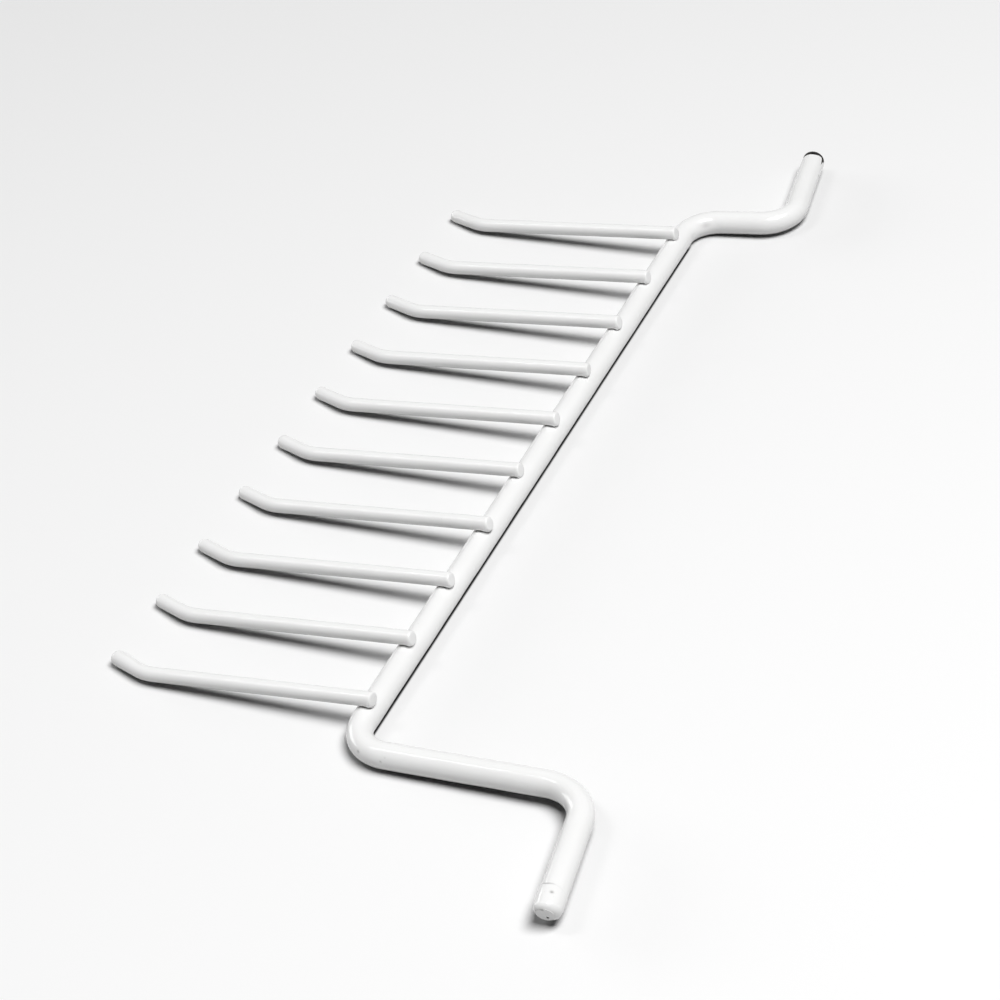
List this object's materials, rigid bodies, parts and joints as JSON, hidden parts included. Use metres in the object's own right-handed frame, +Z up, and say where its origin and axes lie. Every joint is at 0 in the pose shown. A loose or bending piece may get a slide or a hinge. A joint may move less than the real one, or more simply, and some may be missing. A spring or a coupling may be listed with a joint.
{
  "type": "tie holder",
  "caption": "White-coated steel swing arm for hanging ties: a cranked round rod with a pin at each end and a comb of thin pegs with upturned tips welded across it.",
  "frame": {"origin": "on the surface that it lies on, under the middle of the whole piece", "axes": "+Y along the straight of the rod towards its upper end in use, +X towards the side of the two pins, +Z up as it lies on the rod and the tips of the pegs"},
  "size_m": [0.1806, 0.4074, 0.0129],
  "materials": {
    "white_coating": "smooth white baked coating, satin to glossy, with a few pits and specks",
    "bare_steel": "dark bare steel where the coating stops short of the upper pin's end"
  },
  "bodies": {
    "root": {"rod": "white_coating", "peg_01": "white_coating", "peg_02": "white_coating", "peg_03": "white_coating", "peg_04": "white_coating", "peg_05": "white_coating", "peg_06": "white_coating", "peg_07": "white_coating", "peg_08": "white_coating", "peg_09": "white_coating", "peg_10": "white_coating"}
  },
  "joints": []
}
